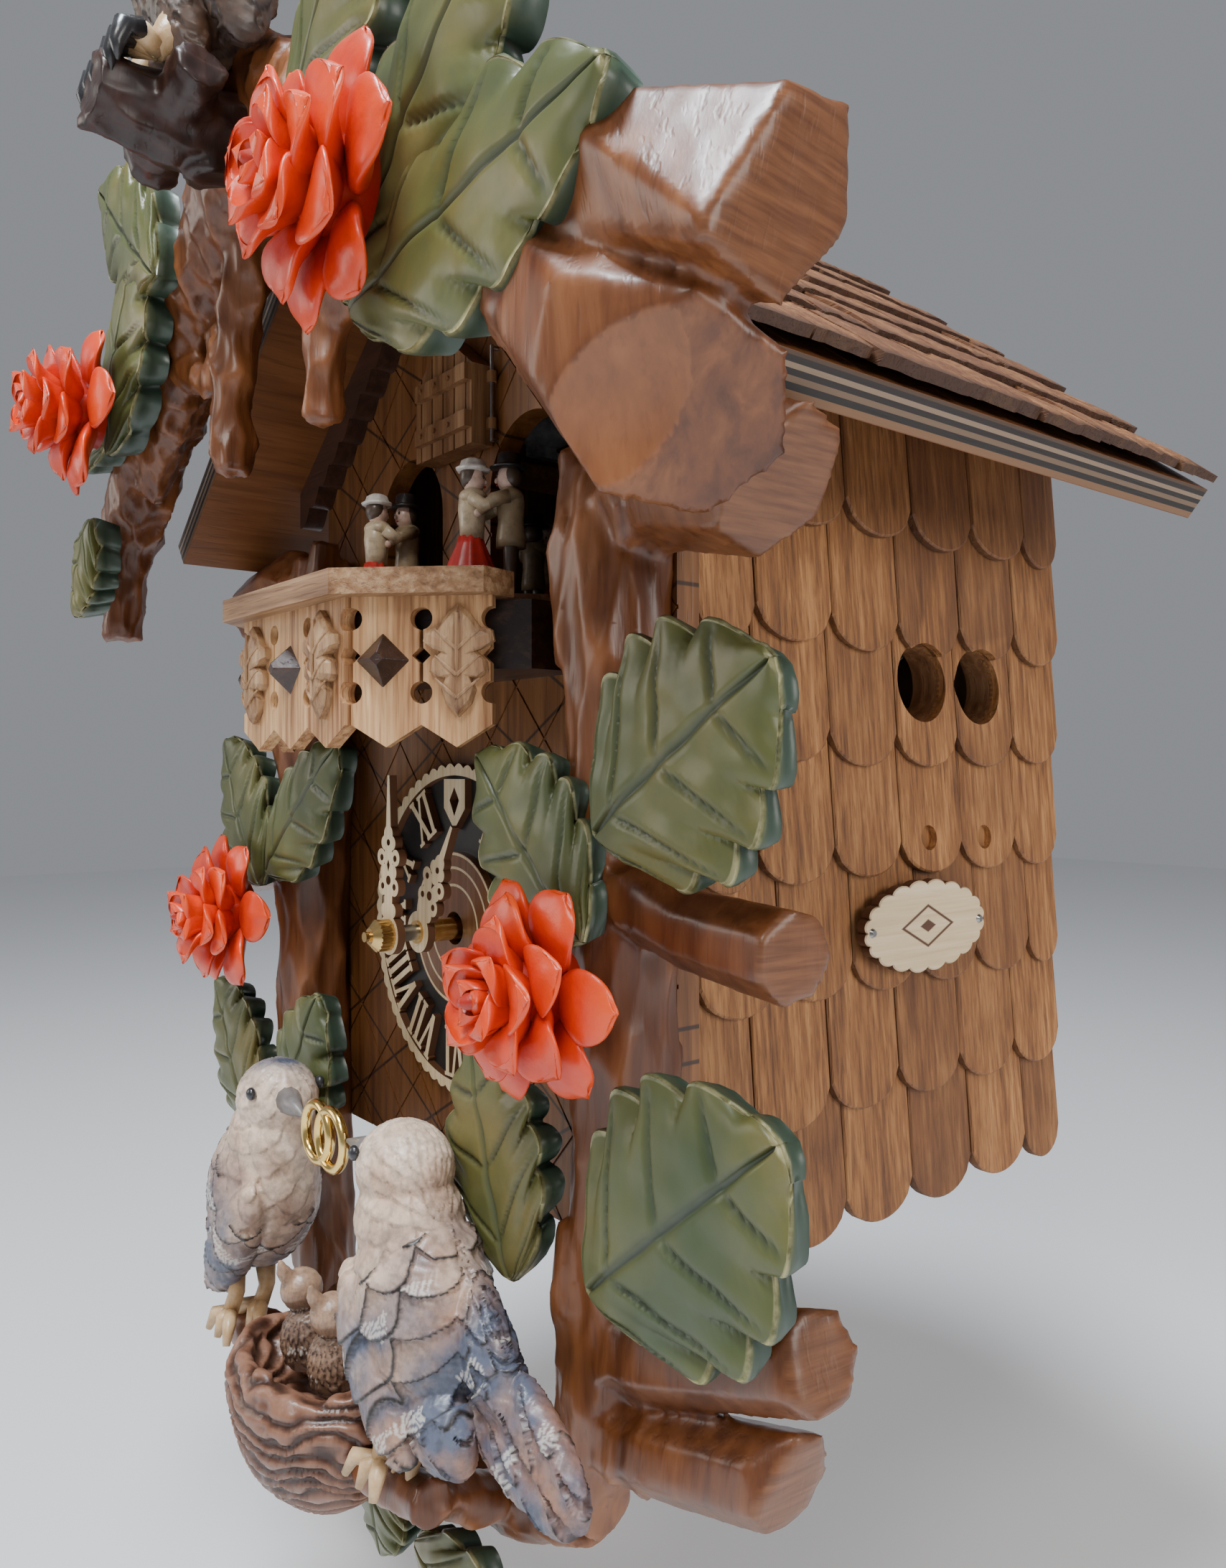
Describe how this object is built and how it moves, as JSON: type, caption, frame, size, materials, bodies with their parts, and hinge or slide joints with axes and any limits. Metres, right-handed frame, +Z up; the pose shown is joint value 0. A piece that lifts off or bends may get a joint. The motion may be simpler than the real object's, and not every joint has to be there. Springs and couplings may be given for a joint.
{
  "type": "cuckoo clock",
  "caption": "Carved wooden wall cuckoo clock with shingled case, dancers on a balcony, songbirds, roses and leaves, with moving train, doors and bellows.",
  "frame": {"origin": "centre of the hanger hole where the back board meets the wall", "axes": "+Y into the wall, along the hanger hole, +Z up, +X to the right as seen from the front"},
  "size_m": [0.4306, 0.354, 0.613],
  "materials": {
    "walnut_stained_wood": "satin stained",
    "shingle_wood": "matte stained",
    "plywood": "satin stained",
    "lacquered_linden": "satin lacquer",
    "green_painted_wood": "satin painted",
    "red_painted_wood": "satin painted",
    "dark_stained_wood": "satin stained",
    "maple": "satin",
    "black_painted_wood": "satin painted",
    "painted_bird": "satin painted",
    "nest_brown": "satin painted",
    "gold_ring": "polished",
    "brass": "polished",
    "steel": "satin",
    "painted_figures": "painted",
    "case_wood": "matte"
  },
  "bodies": {
    "case": {"side_panel_left": "case_wood", "side_panel_right": "case_wood", "roof_board_left": "plywood", "roof_board_right": "plywood", "gong": "steel", "movement_plates": "brass", "dial_numerals": "maple", "side_shingles": "shingle_wood", "roof_shingles": "shingle_wood", "trunks": "lacquered_linden", "gable_branches": "lacquered_linden", "trunk_leaves": "green_painted_wood", "inner_shelves": "case_wood", "cuckoo_pipes": "case_wood", "music_box": "brass", "pins_and_hinge_wire": "brass", "songbird_right": "painted_bird", "songbird_left": "painted_bird", "side_badge": "maple", "front_panel": "walnut_stained_wood", "floor_board": "case_wood", "back_panel": "case_wood", "gable_trim": "dark_stained_wood", "bottom_branch": "lacquered_linden", "gable_leaves": "green_painted_wood", "gable_roses": "red_painted_wood", "trunk_roses": "red_painted_wood", "owl_branch": "dark_stained_wood", "owl": "painted_bird", "wedding_rings": "gold_ring", "nest": "nest_brown", "chicks": "painted_bird", "balcony_box": "walnut_stained_wood", "balcony_railing": "walnut_stained_wood", "balcony_rail_cap": "walnut_stained_wood", "railing_pyramids": "dark_stained_wood", "railing_oak_leaves": "walnut_stained_wood", "dial_disc": "black_painted_wood", "dial_centre": "walnut_stained_wood"},
    "minute_train": {"minute_hand": "maple", "hand_nut": "brass", "centre_arbor": "brass"},
    "hour_train": {"hour_hand": "maple", "hour_tube": "brass"},
    "motion_wheel": {"motion_wheel": "brass"},
    "great_wheel": {"great_wheel": "brass"},
    "third_wheel": {"third_wheel": "brass"},
    "escape_wheel": {"escape_wheel": "brass"},
    "pendulum": {"pendulum_rod": "steel", "pendulum_bob": "walnut_stained_wood"},
    "verge": {"verge": "steel"},
    "dance_floor": {"turntable": "walnut_stained_wood", "dancers": "painted_figures"},
    "music_drum": {"music_drum": "brass"},
    "cuckoo": {"cuckoo": "painted_bird"},
    "cuckoo_door": {"cuckoo_door": "walnut_stained_wood"},
    "bellows_top_left": {"bellows_top_left": "case_wood"},
    "bellows_top_right": {"bellows_top_right": "case_wood"},
    "gong_hammer": {"gong_hammer": "steel"},
    "rear_door": {"rear_door": "case_wood"}
  },
  "joints": [
    {"name": "minute_turn", "type": "hinge", "parent": "case", "child": "minute_train", "pos_m": [0, -0.208, -0.1515], "axis": [0, 1, 0], "continuous": true},
    {"name": "hour_turn", "type": "hinge", "parent": "case", "child": "hour_train", "pos_m": [0, -0.208, -0.1515], "axis": [0, 1, 0], "continuous": true},
    {"name": "motion_wheel_turn", "type": "hinge", "parent": "case", "child": "motion_wheel", "pos_m": [0.018, -0.2, -0.1515], "axis": [0, 1, 0], "continuous": true},
    {"name": "great_wheel_turn", "type": "hinge", "parent": "case", "child": "great_wheel", "pos_m": [0, -0.188, -0.1851], "axis": [0, 1, 0], "continuous": true},
    {"name": "third_wheel_turn", "type": "hinge", "parent": "case", "child": "third_wheel", "pos_m": [0, -0.178, -0.127], "axis": [0, 1, 0], "continuous": true},
    {"name": "escape_wheel_turn", "type": "hinge", "parent": "case", "child": "escape_wheel", "pos_m": [0, -0.168, -0.106], "axis": [0, 1, 0], "continuous": true},
    {"name": "pendulum_swing", "type": "hinge", "parent": "case", "child": "pendulum", "pos_m": [0, -0.141, -0.089], "axis": [0, 1, 0], "range_deg": [-4, 4]},
    {"name": "verge_rock", "type": "hinge", "parent": "case", "child": "verge", "pos_m": [0, -0.162, -0.089], "axis": [0, 1, 0], "range_deg": [-4, 4]},
    {"name": "dance_turn", "type": "hinge", "parent": "case", "child": "dance_floor", "pos_m": [0, -0.193, -0.035], "axis": [0, 0, 1], "continuous": true},
    {"name": "music_drum_turn", "type": "hinge", "parent": "case", "child": "music_drum", "pos_m": [0, -0.128, -0.054], "axis": [0, 1, 0], "continuous": true},
    {"name": "cuckoo_slide", "type": "slide", "parent": "case", "child": "cuckoo", "axis": [0, -1, 0], "range_m": [0, 0.035]},
    {"name": "cuckoo_door_swing", "type": "hinge", "parent": "case", "child": "cuckoo_door", "pos_m": [0.022, -0.2196, 0.045], "axis": [0, 0, 1], "range_deg": [0, 100]},
    {"name": "bellows_left_lift", "type": "hinge", "parent": "case", "child": "bellows_top_left", "pos_m": [-0.087, -0.116, -0.045], "axis": [1, 0, 0], "range_deg": [0, 8]},
    {"name": "bellows_right_lift", "type": "hinge", "parent": "case", "child": "bellows_top_right", "pos_m": [0.087, -0.116, -0.045], "axis": [1, 0, 0], "range_deg": [0, 8]},
    {"name": "gong_hammer_swing", "type": "hinge", "parent": "case", "child": "gong_hammer", "pos_m": [0.038, -0.03, 0.012], "axis": [1, 0, 0], "range_deg": [-8, 2.5]},
    {"name": "rear_door_swing", "type": "hinge", "parent": "case", "child": "rear_door", "pos_m": [-0.0545, -0.006, -0.122], "axis": [0, 0, 1], "range_deg": [0, 90]}
  ],
  "couplings": [
    {"joint": "hour_turn", "follows": "minute_turn", "ratio": 0.083333},
    {"joint": "motion_wheel_turn", "follows": "minute_turn", "ratio": -0.33333},
    {"joint": "great_wheel_turn", "follows": "minute_turn", "ratio": -0.16667},
    {"joint": "third_wheel_turn", "follows": "minute_turn", "ratio": -6},
    {"joint": "escape_wheel_turn", "follows": "minute_turn", "ratio": 36},
    {"joint": "verge_rock", "follows": "pendulum_swing", "ratio": 1},
    {"joint": "music_drum_turn", "follows": "dance_turn", "ratio": -1.5},
    {"joint": "cuckoo_door_swing", "follows": "cuckoo_slide", "rad_per_m": 49.8}
  ]
}
